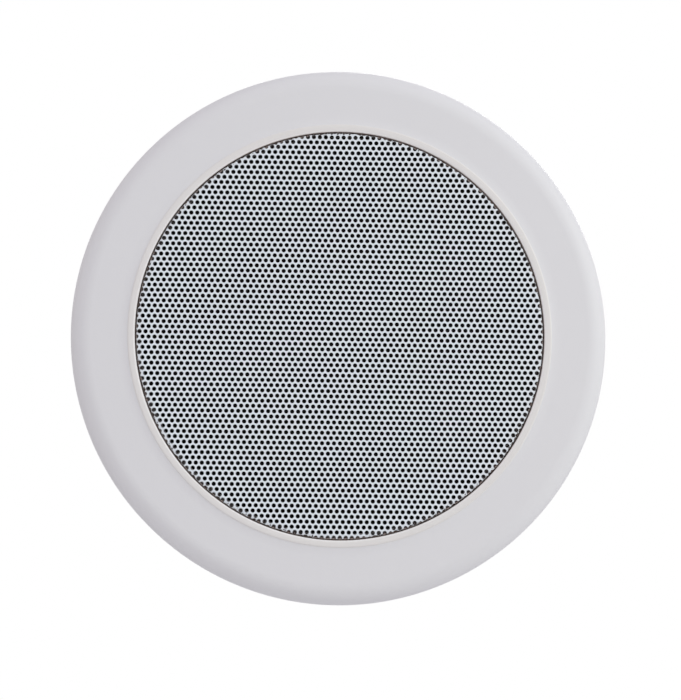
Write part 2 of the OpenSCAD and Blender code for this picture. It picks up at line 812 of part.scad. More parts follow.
module across(r, length) rotate([90, 0, 0]) cylinder(r = r, h = length, center = true);

module clip_pin(side) {
    half = arm_w / 2 + ear_gap + ear_t;
    color("silver") at_clip(side) union() {
        across(pin_d / 2, 2 * half + 1);
        translate([0, half + 0.6, 0]) across(pin_d / 2 + 0.8, 1.2);
    }
}

module clip_arm(side) {
    notch = arm_w / 2 - knuckle_w;
    color("silver") at_clip(side, arm_rest) difference() {
        union() {
            block([0, arm_len], [-arm_w / 2, arm_w / 2], -arm_t / 2, arm_t / 2);
            across(knuckle_r, arm_w);
        }
        block([-knuckle_r - over, knuckle_r + 1.5], [-notch, notch], -knuckle_r - over, knuckle_r + over);
        across(pin_d / 2 + pin_fit, arm_w + over);
    }
}

function pad_outline() = let (from = arm_len + pad_over - pad_len, r = pad_t / 2) concat(
    arc(arm_len + pad_over - r, 0, r, -90, 90, 8), arc(from + r, 0, r, 90, 270, 8)
);

module clip_pad(side) {
    color([0.1, 0.1, 0.1]) at_clip(side, arm_rest) difference() {
        rotate([90, 0, 0]) linear_extrude(pad_w, center = true) polygon(pad_outline());
        block([0, arm_len], [-arm_w / 2, arm_w / 2], -arm_t / 2, arm_t / 2);
    }
}

// Spring wire: a leg in the channel, the coil on the pin, and a leg behind the arm
function spring_path() =
    let (first = 180, last = 270 + arm_rest + 360 * spring_turns, steps = 14 * spring_turns,
         ahead = [cos(arm_rest), 0, sin(arm_rest)], behind = [sin(arm_rest), 0, -cos(arm_rest)],
         side = [0, spring_len / 2, 0])
    concat(
        [[-coil_mean, 0, leg_stop] - side, [-coil_mean, 0, 1] - side],
        [for (i = [0 : steps]) let (a = first + (last - first) * i / steps)
            [coil_mean * cos(a), spring_len * (i / steps - 0.5), coil_mean * sin(a)]],
        [coil_mean * behind + ahead + side, leg_seat * behind + leg_arm * ahead + side]
    );

module clip_spring(side) color("silver") at_clip(side) tube(spring_path(), wire_d, 8, [0, 1, 0]);

module clip_pin_left() clip_pin(-1);
module clip_arm_left() clip_arm(-1);
module clip_pad_left() clip_pad(-1);
module clip_spring_left() clip_spring(-1);
module clip_pin_right() clip_pin(1);
module clip_arm_right() clip_arm(1);
module clip_pad_right() clip_pad(1);
module clip_spring_right() clip_spring(1);

front_frame();
wall_gasket();
grille();
grille_scrim();
basket_seal();
basket();
trim_ring();
surround();
cone();
dust_cap();
spider();
coil_former();
voice_coil();
top_plate();
magnet();
back_plate();
tag_strip();
lead_wires();
basket_screws();
rear_can();
can_screws();
amp_board();
radio_module();
amp_chip();
heat_sink();
capacitors();
inductors();
board_screws();
dc_inlet();
inlet_nut();
link_socket();
speaker_wires();
supply_wires();
link_wires();
clip_pin_left();
clip_arm_left();
clip_pad_left();
clip_spring_left();
clip_pin_right();
clip_arm_right();
clip_pad_right();
clip_spring_right();
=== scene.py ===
import bmesh
import bpy
import json
import math
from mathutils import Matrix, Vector
from mathutils.geometry import delaunay_2d_cdt
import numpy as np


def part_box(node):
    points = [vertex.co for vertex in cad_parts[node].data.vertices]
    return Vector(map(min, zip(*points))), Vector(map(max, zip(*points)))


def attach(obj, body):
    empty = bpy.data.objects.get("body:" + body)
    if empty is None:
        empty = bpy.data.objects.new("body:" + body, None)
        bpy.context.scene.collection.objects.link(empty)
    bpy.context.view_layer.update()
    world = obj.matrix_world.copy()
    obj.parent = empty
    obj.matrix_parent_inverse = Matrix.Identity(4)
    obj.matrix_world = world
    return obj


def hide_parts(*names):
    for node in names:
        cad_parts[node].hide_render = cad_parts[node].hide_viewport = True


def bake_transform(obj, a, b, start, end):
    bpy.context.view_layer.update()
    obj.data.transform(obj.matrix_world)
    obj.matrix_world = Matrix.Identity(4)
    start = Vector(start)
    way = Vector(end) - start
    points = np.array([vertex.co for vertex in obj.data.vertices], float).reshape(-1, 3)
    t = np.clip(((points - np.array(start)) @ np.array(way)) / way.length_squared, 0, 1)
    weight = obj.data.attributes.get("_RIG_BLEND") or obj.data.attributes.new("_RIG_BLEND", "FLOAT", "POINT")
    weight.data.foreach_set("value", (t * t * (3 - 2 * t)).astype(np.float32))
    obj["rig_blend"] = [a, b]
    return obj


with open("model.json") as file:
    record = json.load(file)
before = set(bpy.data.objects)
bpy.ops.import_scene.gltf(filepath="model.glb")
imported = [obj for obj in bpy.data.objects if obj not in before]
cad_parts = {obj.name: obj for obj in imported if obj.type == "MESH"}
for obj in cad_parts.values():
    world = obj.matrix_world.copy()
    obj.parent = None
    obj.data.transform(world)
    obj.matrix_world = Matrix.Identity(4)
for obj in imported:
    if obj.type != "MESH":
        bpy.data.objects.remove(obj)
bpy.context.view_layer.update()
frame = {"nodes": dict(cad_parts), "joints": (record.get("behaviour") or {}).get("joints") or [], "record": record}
print("frame loaded,", len(frame["nodes"]), "nodes")

# Everything below is drawn in millimetres, seen from the room: x right, y up, z out of the wall
mm = 0.001
nearAxis = 0.01                 # where an outline that closes on the axis stops short of it


def extent(node):               # a node's reach in those millimetres
    low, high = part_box(node)
    return {"right": high[0] / mm, "back": -high[1] / mm, "front": -low[1] / mm}


def mount(name):
    return next(m for m in frame["record"]["mounts"] if m["name"] == name)


def joint(name):
    return next(j for j in frame["joints"] if j["name"] == name)


frontBox, grilleBox = extent("front_frame"), extent("grille")
sizes = {
    "bezelR": frontBox["right"],
    "lipZ": frontBox["front"],
    "bodyEnd": frontBox["back"],
    "bodyR": mount("cutout_body")["dims"]["r_mm"],
    "grilleR": grilleBox["right"],
    "grilleZ": grilleBox["front"],
    "ledgeZ": grilleBox["back"],
    "shelfLow": extent("rear_can")["front"],
    "shelfZ": extent("basket_seal")["back"],
    "foamOut": extent("wall_gasket")["right"],
    "clipR": joint("clip_right_fold")["pos_m"][0] / mm,
    "clipZ": -joint("clip_right_fold")["pos_m"][1] / mm,
}
seatLook = {"gap": 0.4, "lipW": 2.5, "sheet": 0.6, "bend": 0.9}     # the grille's sheet and the lip round it
sizes["throatR"] = sizes["grilleR"] + seatLook["gap"]
sizes["lipR"] = sizes["throatR"] + seatLook["lipW"]


# Mesh making

def arcPoints(cx, cy, r, start, end, steps):
    return [(cx + r * math.cos(math.radians(start + (end - start) * i / steps)),
             cy + r * math.sin(math.radians(start + (end - start) * i / steps))) for i in range(steps + 1)]


def circlePoints(cx, cy, r, sides, turn=0):
    return arcPoints(cx, cy, r, turn, turn + 360, sides)[:-1]


def spun(angle, x, y, z):       # a point turned about the speaker's axis, angle in degrees
    c, s = math.cos(math.radians(angle)), math.sin(math.radians(angle))
    return (x * c - y * s, x * s + y * c, z)


def perforated(outline, holes, extra=()):      # triangles of a flat outline with holes cut out of it
    points, edges, owner = [], [], []
    for number, loop in enumerate([outline] + holes):
        base = len(points)
        points += [Vector(p) for p in loop]
        owner += [number] * len(loop)
        edges += [(base + i, base + (i + 1) % len(loop)) for i in range(len(loop))]
    points += [Vector(p) for p in extra]
    owner += [0] * len(extra)
    made = delaunay_2d_cdt(points, edges, [], 0, 1e-6, False)
    faces = [f for f in made[2] if not (owner[f[0]] == owner[f[1]] == owner[f[2]] and owner[f[0]] > 0)]
    return made[0], faces, edges


class Shape:                    # a mesh in the making
    def __init__(self):
        self.points = []
        self.faces = []

    def add(self, points, faces, place=None):
        base = len(self.points)
        self.points += [place(*p) for p in points] if place else [tuple(p) for p in points]
        self.faces += [[base + i for i in f] for f in faces]

    def turned(self, outline, columns=192, dip=None, place=None):     # a closed outline of (r, z), turned
        angles = columns if isinstance(columns, list) else [360 * i / columns for i in range(columns)]
        points = []
        for i, angle in enumerate(angles):
            for r, z in outline:
                points.append(spun(angle, r, 0, dip(i, r, z) if dip else z))
        n, m = len(outline), len(angles)
        faces = [[i * n + k, (i + 1) % m * n + k, (i + 1) % m * n + (k + 1) % n, i * n + (k + 1) % n]
                 for i in range(m) for k in range(n)]
        self.add(points, faces, place)

    def prism(self, outline, low, high, soft=0, place=None):     # an outline in x and y, raised along z
        n = len(outline)
        work = bmesh.new()
        rings = [[work.verts.new((x, y, z)) for x, y in outline] for z in (low, high)]
        work.faces.new(rings[0][::-1])
        work.faces.new(rings[1])
        for i in range(n):
            work.faces.new([rings[0][i], rings[0][(i + 1) % n], rings[1][(i + 1) % n], rings[1][i]])
        self.take(work, soft, place)

    def block(self, x, y, z, soft=0.15, place=None):
        self.prism([(x[0], y[0]), (x[1], y[0]), (x[1], y[1]), (x[0], y[1])], z[0], z[1], soft, place)

    def take(self, work, soft, place):     # moves a bmesh in, with its sharp edges rounded
        work.normal_update()
        if soft:
            sharp = [e for e in work.edges if len(e.link_faces) == 2 and e.calc_face_angle() > 0.6]
            bmesh.ops.bevel(work, geom=sharp, offset=soft, segments=2, profile=0.5, affect="EDGES")
        work.verts.index_update()
        self.add([v.co for v in work.verts], [[v.index for v in f.verts] for f in work.faces], place)
        work.free()

    def tube(self, path, radius, sides, side, place=None):     # a round wire on a path; side lies across it
        across = Vector(side)
        points = []
        for i, spot in enumerate(path):
            ahead = (Vector(path[min(i + 1, len(path) - 1)]) - Vector(path[max(i - 1, 0)])).normalized()
            first = ahead.cross(across).normalized()
            second = ahead.cross(first)
            for k in range(sides):
                a = 2 * math.pi * k / sides
                points.append(Vector(spot) + radius * (math.cos(a) * first + math.sin(a) * second))
        last = (len(path) - 1) * sides
        faces = [[i + k, i + (k + 1) % sides, i + sides + (k + 1) % sides, i + sides + k]
                 for i in range(0, last, sides) for k in range(sides)]
        faces += [list(range(sides))[::-1], [last + k for k in range(sides)]]
        self.add(points, faces, place)


def piece(name, shape, finish, body, replaces, sharp=35):     # a blended piece rides on no single body
    mesh = bpy.data.meshes.new(name)
    mesh.from_pydata([(x * mm, -z * mm, y * mm) for x, y, z in shape.points], [], shape.faces)
    work = bmesh.new()
    work.from_mesh(mesh)
    bmesh.ops.remove_doubles(work, verts=work.verts, dist=1e-6)
    bmesh.ops.dissolve_degenerate(work, edges=work.edges, dist=1e-7)
    bmesh.ops.recalc_face_normals(work, faces=work.faces)
    for f in work.faces:
        f.smooth = True
    for e in work.edges:
        e.smooth = len(e.link_faces) == 2 and e.calc_face_angle() < math.radians(sharp)
    work.to_mesh(mesh)
    work.free()
    made = bpy.data.objects.new(name, mesh)
    bpy.context.scene.collection.objects.link(made)
    made.data.materials.append(finish)
    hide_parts(*replaces)
    if body:
        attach(made, body)
    return made


# Shader making

class Wire:                     # one output of a node, which can be used in sums
    def __init__(self, shade, socket):
        self.shade = shade
        self.socket = socket

    def __add__(self, other):
        return self.shade.math("ADD", self, other)

    def __sub__(self, other):
        return self.shade.math("SUBTRACT", self, other)

    def __rsub__(self, other):
        return self.shade.math("SUBTRACT", other, self)

    def __mul__(self, other):
        return self.shade.math("MULTIPLY", self, other)

    def __lt__(self, other):
        return self.shade.math("LESS_THAN", self, other)

    def __gt__(self, other):
        return self.shade.math("GREATER_THAN", self, other)

    __radd__ = __add__
    __rmul__ = __mul__


class Shade:                    # a node tree being built, of a material or of the world
    def __init__(self, owner):
        self.owner = owner
        owner.use_nodes = True
        self.tree = owner.node_tree
        self.tree.nodes.clear()

    def node(self, kind, settings=None, inputs=None, out=0):
        made = self.tree.nodes.new("ShaderNode" + kind)
        for key, value in (settings or {}).items():
            setattr(made, key, value)
        for key, value in (inputs or {}).items():
            if isinstance(value, Wire):
                self.tree.links.new(value.socket, made.inputs[key])
            else:
                made.inputs[key].default_value = value
        return Wire(self, made.outputs[out]) if len(made.outputs) else made

    def math(self, operation, first, second=0.0):
        return self.node("Math", {"operation": operation}, {0: first, 1: second})

    def vector(self, operation, first, second):
        slot = 3 if operation == "SCALE" else 1
        return self.node("VectorMath", {"operation": operation}, {0: first, slot: second})

    def place(self):
        return self.node("TexCoord", out="Object")

    def noise(self, scale, detail=2, where=None):
        where = where or self.place()
        return self.node("TexNoise", None, {"Vector": where, "Scale": scale, "Detail": detail})

    def cells(self, scale, where=None, feature="F1"):
        where = where or self.place()
        return self.node("TexVoronoi", {"feature": feature}, {"Vector": where, "Scale": scale})

    def mixed(self, share, first, second):
        return self.node("Mix", {"data_type": "RGBA"}, {0: share, 6: first, 7: second}, 2)

    def axis(self, name):
        return self.node("SeparateXYZ", None, {0: self.place()}, name)

    def radius(self):               # from the speaker's axis, in metres
        x, z = self.axis("X"), self.axis("Z")
        return self.math("SQRT", x * x + z * z)

    def height(self):               # in front of the wall, in millimetres
        return self.axis("Y") * (-1 / mm)

    def bump(self, height, depth):  # depth in metres
        return self.node("Bump", None, {"Height": height, "Distance": depth, "Strength": 1.0})

    def finish(self, **inputs):
        named = {key.replace("_", " "): value for key, value in inputs.items()}
        surface = self.node("BsdfPrincipled", None, named)
        self.node("OutputMaterial", None, {"Surface": surface})
        return self.owner


def rgb(r, g, b):
    return (r, g, b, 1.0)


def newShade(name):
    return Shade(bpy.data.materials.new(name))


whiteLook = {
    "colour": rgb(0.785, 0.776, 0.785), "grime": rgb(0.73, 0.722, 0.715), "grimeScale": 9,
    # the bevel colour is a painted highlight on the lip's inner bevel
    # the lip colour is painted light: a warmer, lighter tint on the flat lip of the same moulding
    "grimeShare": 0.25, "lipColour": rgb(0.8, 0.775, 0.75), "edgeColour": rgb(0.87, 0.85, 0.83),
    # the gap colour is painted shade in the throat below the grille's face
    "edgeW": 0.6, "crevice": rgb(0.66, 0.58, 0.54), "creviceDrop": 0.1, "skin": 0.05, "rough": 0.5,
    "roughSpread": 0.12, "lipShine": 0.12, "edgeShine": 0.12, "gloss": 0.25, "sparkle": 1600,
    "sparkleDepth": 0.000012, "speck": rgb(0.25, 0.22, 0.2), "speckScale": 75, "speckSize": 0.022,
    "speckPatch": 35, "speckShare": 0.58, "speckDark": 0.2,
}


def whitePlastic(lip=False):     # spark-textured moulding; the lip gets painted warm light and is smoother, its inner bevel a painted highlight and its gap painted shade
    s = newShade("white plastic")
    cloud = s.noise(whiteLook["grimeScale"], 3)
    grain = s.noise(whiteLook["sparkle"], 3)
    base = s.mixed(cloud * whiteLook["grimeShare"], whiteLook["colour"], whiteLook["grime"])
    rough = whiteLook["rough"] + (grain - 0.5) * whiteLook["roughSpread"]
    if lip:
        throatR, skin = sizes["throatR"], whiteLook["skin"]
        height = s.height()
        front = height > sizes["ledgeZ"] - skin
        onLip = (s.radius() < sizes["lipR"] * mm) * front
        onEdge = (s.radius() < (throatR + whiteLook["edgeW"]) * mm) * front
        # painted shade: the throat wall below the grille's face is coloured a darker brown-grey
        inGap = height < sizes["grilleZ"] - whiteLook["creviceDrop"]
        shadedGap = (s.radius() < (throatR + skin) * mm) * front * inGap
        # painted light: the flat lip is tinted warmer and lighter than the rest of the moulding
        base = s.mixed(onLip, base, whiteLook["lipColour"])
        # painted highlight: the lip's inner bevel is coloured brighter
        base = s.mixed(onEdge, base, whiteLook["edgeColour"])
        base = s.mixed(shadedGap, base, whiteLook["crevice"])
        rough = rough - onLip * whiteLook["lipShine"] - onEdge * whiteLook["edgeShine"]
    flat = s.vector("MULTIPLY", s.place(), (1, 0, 1))
    dot = s.cells(whiteLook["speckScale"], flat) < whiteLook["speckSize"]
    speck = dot * (s.noise(whiteLook["speckPatch"], 0, flat) > whiteLook["speckShare"])
    base = s.mixed(speck * whiteLook["speckDark"], base, whiteLook["speck"])
    return s.finish(Base_Color=base, Roughness=rough, Normal=s.bump(grain, whiteLook["sparkleDepth"]),
                    Specular_IOR_Level=whiteLook["gloss"])


coatLook = {
    "colour": rgb(0.785, 0.83, 0.865), "dull": rgb(0.74, 0.782, 0.817), "dullScale": 14, "dullShare": 0.4,
    # the inside colour is painted shade on the hole walls and the back of the sheet
    # the skirt colour is painted shade on the bent rim below its bend
    "inside": rgb(0.055, 0.042, 0.038), "skirt": rgb(0.5, 0.4, 0.36), "skirtW": 0.3, "skin": 0.12,
    "rough": 0.42, "roughSpread": 0.15, "gloss": 0.45, "peel": 700, "peelDepth": 0.000015,
}


def coatedSteel():              # powder coat with a faint orange peel; painted shade on the hole walls, the back of the sheet and the bent rim's skirt
    s = newShade("white powder coat")
    peel = s.noise(coatLook["peel"], 2)
    dull = s.noise(coatLook["dullScale"], 2) * coatLook["dullShare"]
    base = s.mixed(dull, coatLook["colour"], coatLook["dull"])
    height = s.height()
    bend = seatLook["bend"]
    run = s.math("MAXIMUM", s.radius() * (1 / mm) - (sizes["grilleR"] - bend), 0.0)
    outside = s.math("SQRT", s.math("MAXIMUM", bend * bend - run * run, 0.0)) + (sizes["grilleZ"] - bend)
    # painted shade: everything behind the front face, the hole walls and the back, is coloured near black
    inside = height < outside - coatLook["skin"]
    # painted shade: the bent rim's skirt is coloured brown
    skirt = (height < sizes["grilleZ"] - bend) * (s.radius() > (sizes["grilleR"] - coatLook["skirtW"]) * mm)
    base = s.mixed(inside, base, coatLook["inside"])
    base = s.mixed(skirt, base, coatLook["skirt"])
    return s.finish(Base_Color=base, Roughness=coatLook["rough"] + (peel - 0.5) * coatLook["roughSpread"],
                    Normal=s.bump(peel, coatLook["peelDepth"]), Specular_IOR_Level=coatLook["gloss"])


def weave(name, dark, light, pitch, rough=0.9, depth=0.00008, gloss=0.5):     # plain weave of two threads
    s = newShade(name)
    x, z = s.axis("X"), s.axis("Z")
    over = s.math("SINE", x * (math.pi / pitch))
    under = s.math("SINE", z * (math.pi / pitch))
    height = s.math("ABSOLUTE", over * under)
    base = s.mixed(height * 0.8 + s.noise(120, 2) * 0.2, rgb(*dark), rgb(*light))
    return s.finish(Base_Color=base, Roughness=rough - height * 0.1, Normal=s.bump(height, depth),
                    Specular_IOR_Level=gloss)


def grained(name, dark, light, rough, scale, depth, metal=0.0):     # most plain finishes
    s = newShade(name)
    fine = s.noise(scale, 4)
    broad = s.noise(scale / 18, 2)
    base = s.mixed(fine * 0.5 + broad * 0.5, rgb(*dark), rgb(*light))
    return s.finish(Base_Color=base, Roughness=rough + (fine - 0.5) * 0.1, Metallic=metal,
                    Normal=s.bump(fine, depth))


def foamed():                   # closed cells
    s = newShade("foam")
    cell = s.cells(1500)
    base = s.mixed(cell, rgb(0.012, 0.012, 0.013), rgb(0.05, 0.05, 0.053))
    return s.finish(Base_Color=base, Roughness=0.85 + cell * 0.1, Normal=s.bump(cell, 0.00012))


def brushed(name, dark, light, rough, across="X"):                   # drawn or rolled metal
    s = newShade(name)
    stretch = {"X": (3500, 160, 160), "Y": (160, 3500, 160), "Z": (160, 160, 3500)}[across]
    where = s.node("Mapping", None, {"Vector": s.place(), "Scale": stretch})
    streak = s.noise(1, 4, where)
    stain = s.noise(90, 3)
    base = s.mixed(streak * 0.6 + stain * 0.4, rgb(*dark), rgb(*light))
    return s.finish(Base_Color=base, Roughness=rough + (streak - 0.5) * 0.2, Metallic=1.0,
                    Normal=s.bump(streak, 0.000006))


def circuit():                  # green solder mask over copper tracks, with bare pads
    s = newShade("circuit board")
    where = s.node("VectorMath", {"operation": "SNAP"}, {0: s.place(), 1: (0.0012, 0.0012, 0.0012)})
    track = s.cells(240, where, feature="DISTANCE_TO_EDGE") < 0.06
    pad = s.cells(420) < 0.12
    base = s.mixed(track * 0.8, rgb(0.01, 0.075, 0.03), rgb(0.02, 0.16, 0.06))
    base = s.mixed(pad, base, rgb(0.75, 0.72, 0.62))
    return s.finish(Base_Color=base, Roughness=0.35 - track * 0.08, Metallic=pad,
                    Normal=s.bump(track + pad, 0.00003))


finishes = {
    "white_plastic": whitePlastic(),
    "lip_plastic": whitePlastic(True),
    "coated_steel": coatedSteel(),
    "black_cloth": weave("scrim cloth", (0.0008, 0.0007, 0.0006), (0.007, 0.006, 0.005), 0.00032,
                         gloss=0.05),
    "foam": foamed(),
    "basket_steel": grained("black coat", (0.012, 0.012, 0.013), (0.03, 0.03, 0.032), 0.45, 900, 0.00002),
    "black_card": grained("black card", (0.015, 0.014, 0.013), (0.04, 0.038, 0.036), 0.85, 1400, 0.00005),
    "rubber_roll": grained("roll rubber", (0.012, 0.012, 0.012), (0.022, 0.022, 0.023), 0.5, 1100, 0.00001),
    "cone_paper": grained("cone pulp", (0.012, 0.012, 0.013), (0.06, 0.06, 0.064), 0.8, 620, 0.00008),
    "cap_paper": grained("cap pulp", (0.012, 0.012, 0.013), (0.04, 0.04, 0.043), 0.7, 900, 0.00004),
    "spider_cloth": weave("spider cloth", (0.25, 0.13, 0.04), (0.62, 0.40, 0.16), 0.0004, 0.7),
    "amber_film": grained("amber film", (0.45, 0.22, 0.05), (0.6, 0.34, 0.1), 0.25, 500, 0.000005),
    "copper_wire": brushed("copper", (0.55, 0.22, 0.1), (0.86, 0.44, 0.24), 0.3, "Y"),
    "plated_steel": grained("zinc plate", (0.45, 0.44, 0.41), (0.66, 0.66, 0.63), 0.38, 700, 0.00001, 1.0),
    "ferrite": grained("ferrite", (0.03, 0.03, 0.032), (0.085, 0.085, 0.09), 0.6, 1300, 0.00004),
    "brown_board": grained("phenolic", (0.13, 0.06, 0.025), (0.28, 0.14, 0.06), 0.55, 800, 0.00002),
    "screw_steel": grained("screw zinc", (0.42, 0.41, 0.38), (0.74, 0.73, 0.7), 0.32, 1500, 0.000012, 1.0),
    "green_board": circuit(),
    "shield_tin": brushed("tinned shield", (0.5, 0.5, 0.48), (0.8, 0.8, 0.78), 0.3),
    "black_plastic": grained("black plastic", (0.012, 0.012, 0.013), (0.028, 0.028, 0.03), 0.5, 1500, 2e-5),
    "anodised_aluminium": brushed("black anodised", (0.02, 0.02, 0.021), (0.06, 0.06, 0.062), 0.4),
    "wire_sleeve": grained("wire sleeve", (0.2, 0.015, 0.012), (0.34, 0.03, 0.025), 0.45, 500, 0.00001),
    "clip_steel": brushed("clip zinc", (0.45, 0.45, 0.42), (0.75, 0.75, 0.72), 0.3, "Z"),
    "spring_steel": brushed("spring wire", (0.35, 0.35, 0.34), (0.68, 0.68, 0.66), 0.25, "Y"),
    "black_rubber": grained("dipped vinyl", (0.01, 0.01, 0.011), (0.024, 0.024, 0.026), 0.42, 420, 0.00004),
}
slotOf = {part["node"]: part["material_slot"] for part in frame["record"]["subparts"]}
for name, node in frame["nodes"].items():
    for place in node.material_slots:
        place.material = finishes[slotOf[name]]
print("finishes:", len(finishes))


# Front frame: the bezel, the seat of the grille and the body that goes through the wall

frontLook = {
    "columns": 288, "edgeRound": 7.0, "edgePower": 2.25, "lipH": 0.7, "lipRound": 0.5, "bevel": 0.6,
    "cove": 3.3, "coveH": 0.35, "footRound": 0.3, "wall": 2.5, "soft": 0.4, "ledge": 2.4, "shelfIn": 58.6,
    "rootStep": 0.8, "guideH": 10.0, "guideStep": 0.6, "foamW": 3.5, "foamRib": 1.5, "foamGap": 0.2,
    "foamLow": 0.5, "innerFrom": 5, "ribs": 24, "ribT": 1.5, "ribBite": 0.5, "ribLow": 1.0, "ribReach": 3.5,
    "ribSoft": 0.12, "sink": 1.0, "slotHalf": 9.5, "slotTop": -12.27, "earT": 3.0, "earR": 4.0,
    "earRoot": 0.3, "earStep": 1.0, "earSoft": 0.2, "webIn": 65.9, "web": 1.3, "stop": (68.4, 70.0),
    "stopLow": -16.18,
    "bossR": 3.0, "holeR": 1.45, "bossH": 6.0, "bossStep": 0.3, "bossDrop": 0.7, "bossCap": 1.5,
    "canBossR": 70.2, "canTurn": 45, "rimBossR": 62.7, "rimTurn": 30,
}


def slopedEdge(side, top, width, first, last, way=1):    # an edge of the lip, eased from one tilt to another
    low, high = sorted((first, last))
    r = width / (math.sin(math.radians(high)) - math.sin(math.radians(low)))
    middle = side - way * r * math.sin(math.radians(high)), top - r * math.cos(math.radians(low))
    return arcPoints(*middle, r, 90 - way * first, 90 - way * last, 8)


def bezelOutline(look):
    bezelR, bodyR, throat, lip, top = (sizes[key] for key in ("bezelR", "bodyR", "throatR", "lipR", "lipZ"))
    ledgeZ, shelfZ, shelfLow, bodyEnd = (sizes[key] for key in ("ledgeZ", "shelfZ", "shelfLow", "bodyEnd"))
    wall, edge, foot, soft = look["wall"], look["edgeRound"], look["footRound"], look["soft"]
    shelfIn, slotTop, guideEnd, foamLow = look["shelfIn"], look["slotTop"], -look["guideH"], look["foamLow"]
    flat = top - look["lipH"]
    hollow, under, ease = flat - wall, bezelR - edge, 2 / look["edgePower"]
    rootR, lowR, bodyIn = bodyR + look["rootStep"], bodyR - look["guideStep"], bodyR - wall
    foamOut, foamIn = sizes["foamOut"] + look["foamGap"], sizes["foamOut"] - look["foamW"] - look["foamGap"]
    ribOut, ribIn = foamOut + look["foamRib"], foamIn - look["foamRib"]
    quarter = [(max(0.0, math.cos(a)), math.sin(a)) for a in (math.pi / 2 * i / 40 for i in range(41))]
    ribAngle = [math.degrees(math.acos((r - under) / (edge - wall))) for r in (foamOut, ribOut)]
    reach = [flat - edge + (edge - wall) * math.sin(math.radians(a)) for a in ribAngle]
    return (
        arcPoints(bezelR - foot, foot, foot, -90, 0, 4)
        + [(under + edge * c ** ease, flat - edge + edge * s ** ease) for c, s in quarter]
        + [(lip + look["cove"] * (1 - t), flat + look["coveH"] * t * t) for t in (i / 10 for i in range(10))]
        + slopedEdge(lip, top, look["lipRound"], 55, 10)
        + slopedEdge(throat, top, look["bevel"], 10, 60, -1)
        + [(throat, ledgeZ), (throat - look["ledge"], ledgeZ), (throat - look["ledge"], shelfZ),
           (shelfIn, shelfZ), (shelfIn, shelfLow), (throat + wall, shelfLow), (throat + wall, hollow - soft),
           (throat + wall + soft, hollow), (bodyIn - soft, hollow), (bodyIn, hollow - soft),
           (bodyIn, slotTop), (bodyIn, bodyEnd + soft), (bodyIn + soft, bodyEnd), (lowR - soft, bodyEnd),
           (lowR, bodyEnd + soft), (lowR, slotTop), (lowR, guideEnd - look["guideStep"]), (bodyR, guideEnd),
           (bodyR, 0), (rootR, look["rootStep"]), (rootR, hollow), (ribIn, hollow), (ribIn, foamLow),
           (foamIn, foamLow), (foamIn, hollow), (under, hollow), (foamOut, reach[0]), (foamOut, foamLow),
           (ribOut, foamLow), (ribOut, reach[1])]
        + arcPoints(under, flat - edge, edge - wall, ribAngle[1] - look["innerFrom"], 0, 12)
        + [(bezelR - wall, foot), (bezelR - wall + foot, 0)]
    )


def slotColumns(look):          # the angles to turn the outline at, and which are cut away for a clip
    gap = math.degrees(math.asin(look["slotHalf"] / (sizes["bodyR"] - look["wall"] / 2)))
    even = [360 * i / look["columns"] for i in range(look["columns"])]
    columns = [(angle, 0, min(angle % 180, 180 - angle % 180) < gap) for angle in even]
    for middle in (0, 180):     # a slot's edge is two columns, one each side of it
        for side in (-1, 1):
            columns += [((middle + side * gap) % 360, cut != (side > 0), cut) for cut in (False, True)]
    return sorted(columns)


def frameRibs(shape, look):     # the ribs between throat and body, and those outside the body
    bodyR, half = sizes["bodyR"], look["ribT"] / 2
    high = sizes["lipZ"] - look["lipH"] - look["wall"] + look["sink"]
    inner = sizes["throatR"] + look["wall"] - look["ribBite"], bodyR - look["wall"] + look["ribBite"]
    outer = bodyR + look["rootStep"] / 2, bodyR + look["ribReach"]
    for i in range(look["ribs"]):
        turn = lambda x, y, z, angle=360 * (i + 0.5) / look["ribs"]: spun(angle, x, y, z)
        shape.block(inner, (-half, half), (sizes["shelfZ"], high), look["ribSoft"], turn)
        shape.block(outer, (-half, half), (look["ribLow"], high), look["ribSoft"], turn)


def screwBosses(shape, look):   # four open at the back for the can, four open at the front for the driver
    bossR, holeR, cap = look["bossR"], look["holeR"], look["bossCap"]
    canLow, canHigh = sizes["shelfLow"] - look["bossStep"], sizes["ledgeZ"] - look["bossDrop"]
    rimLow, rimHigh = sizes["shelfLow"] - look["bossH"], sizes["shelfZ"]
    canBoss = [(bossR, canLow), (bossR, canHigh), (nearAxis, canHigh), (nearAxis, canHigh - cap),
               (holeR, canHigh - cap), (holeR, canLow)]
    rimBoss = [(bossR, rimLow), (bossR, rimHigh), (holeR, rimHigh), (holeR, rimLow + cap),
               (nearAxis, rimLow + cap), (nearAxis, rimLow)]
    for i in range(4):
        for r, angle, boss in ((look["canBossR"], look["canTurn"] + 90 * i, canBoss),
                               (look["rimBossR"], look["rimTurn"] + 90 * i, rimBoss)):
            shape.turned(boss, 32, None, lambda x, y, z, r=r, angle=angle: spun(angle, x + r, y, z))


def clipEars(shape, look):      # two ears for each clip's pin, with the web and the stop between them
    half, low, high, sink = look["slotHalf"], sizes["clipZ"] - look["earR"], sizes["shelfLow"], look["sink"]
    root = sizes["bodyR"] - look["wall"] + look["earRoot"]
    ear = ([(look["webIn"], high + sink), (look["webIn"], low)]
           + arcPoints(sizes["clipR"], sizes["clipZ"], look["earR"], -80, 0, 10)
           + [(root, sizes["clipZ"] + look["earStep"]), (root, high + sink)])
    across = -half - sink, half + sink
    for side in (-1, 1):
        flip = lambda x, y, z, side=side: (side * x, y, z)
        for edge in (-half - look["earT"], half):
            shape.prism(ear, edge, edge + look["earT"], look["earSoft"],
                        lambda x, y, z, side=side: (side * x, z, y))
        shape.block((look["webIn"], look["webIn"] + look["web"]), across, (low, high + sink), place=flip)
        shape.block(look["stop"], across, (look["stopLow"], high + sink), place=flip)


